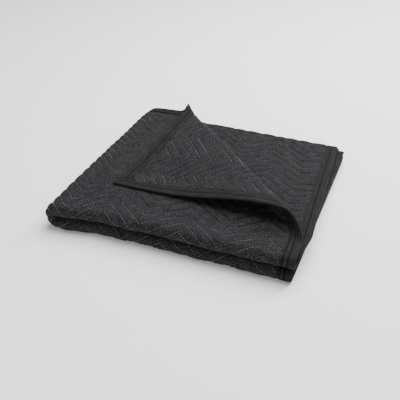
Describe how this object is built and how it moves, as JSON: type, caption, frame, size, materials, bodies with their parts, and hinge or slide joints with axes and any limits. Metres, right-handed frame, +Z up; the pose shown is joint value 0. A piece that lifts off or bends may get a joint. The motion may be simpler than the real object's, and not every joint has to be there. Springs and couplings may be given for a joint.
{
  "type": "folded moving blanket",
  "caption": "Quilted moving blanket folded to a flat pile, its edges bound with woven tape and the top layer's corner turned back over a soft diagonal roll",
  "frame": {"origin": "on the surface that the pile lies on, under the middle of its bounding box", "axes": "+X across the pile, from the half fold to the bound side edges; +Y from the front folds to the bound end; +Z up"},
  "size_m": [0.5053, 0.4701, 0.0907],
  "materials": {
    "quilted_cloth": "matte charcoal quilted nonwoven cloth with pale zigzag stitching",
    "binding_tape": "matte dark grey woven binding tape with two rows of stitching"
  },
  "bodies": {
    "root": {"quilted_sheet": "quilted_cloth", "side_tape_upper": "binding_tape", "side_tape_lower": "binding_tape", "end_tape_outer": "binding_tape", "end_tape_inner": "binding_tape"}
  },
  "joints": []
}
